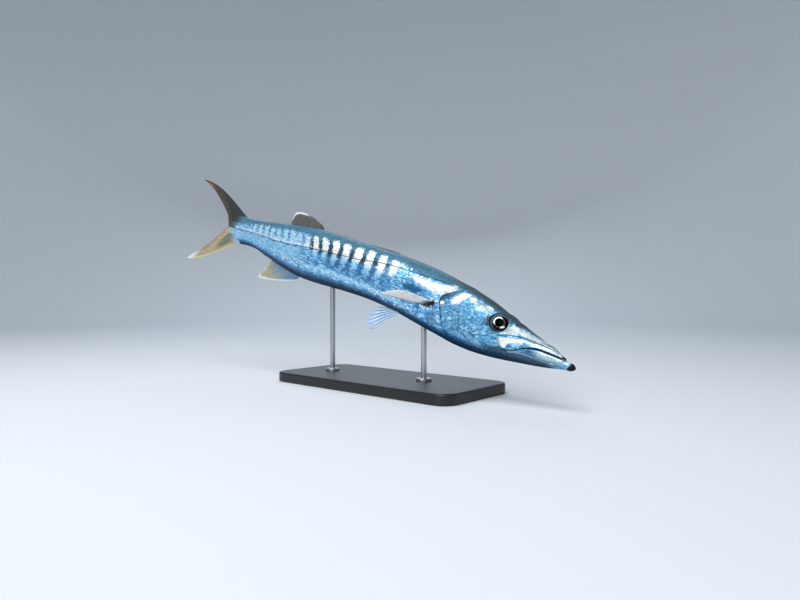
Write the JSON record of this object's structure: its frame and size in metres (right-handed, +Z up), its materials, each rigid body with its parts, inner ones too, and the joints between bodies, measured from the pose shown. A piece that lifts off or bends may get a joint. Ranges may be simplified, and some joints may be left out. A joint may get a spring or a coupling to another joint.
{
  "type": "barracuda",
  "caption": "Life-size barracuda swimming nose down and slightly banked, held over a flat rounded base by short steel rods.",
  "frame": {"origin": "centre of the stand base's underside, on the floor", "axes": "+X along the fish's heading over the floor, +Y towards its left, +Z up"},
  "size_m": [1.0523, 0.2, 0.4948],
  "materials": {
    "silver_skin": null,
    "head_skin": null,
    "cover_skin": null,
    "jaw_skin": null,
    "dark_fin": null,
    "tan_fin": null,
    "pale_fin": null,
    "eye": "wet eye, black pupil in a silver iris",
    "base_paint": "satin black painted board",
    "rod_steel": "satin"
  },
  "bodies": {
    "root": {"head": "head_skin", "lower_jaw": "jaw_skin", "gill_cover_right": "cover_skin", "gill_cover_left": "cover_skin", "eye_right": "eye", "eye_left": "eye", "trunk_front": "silver_skin", "trunk_rear": "silver_skin", "tail_stalk": "silver_skin", "first_dorsal_fin": "dark_fin", "second_dorsal_fin": "dark_fin", "anal_fin": "tan_fin", "tail_fin_upper": "dark_fin", "tail_fin_lower": "tan_fin", "pectoral_fin_right": "pale_fin", "pectoral_fin_left": "pale_fin", "pelvic_fin_right": "pale_fin", "pelvic_fin_left": "pale_fin", "stand_base": "base_paint", "stand_rod_front": "rod_steel", "stand_rod_rear": "rod_steel"}
  },
  "joints": []
}
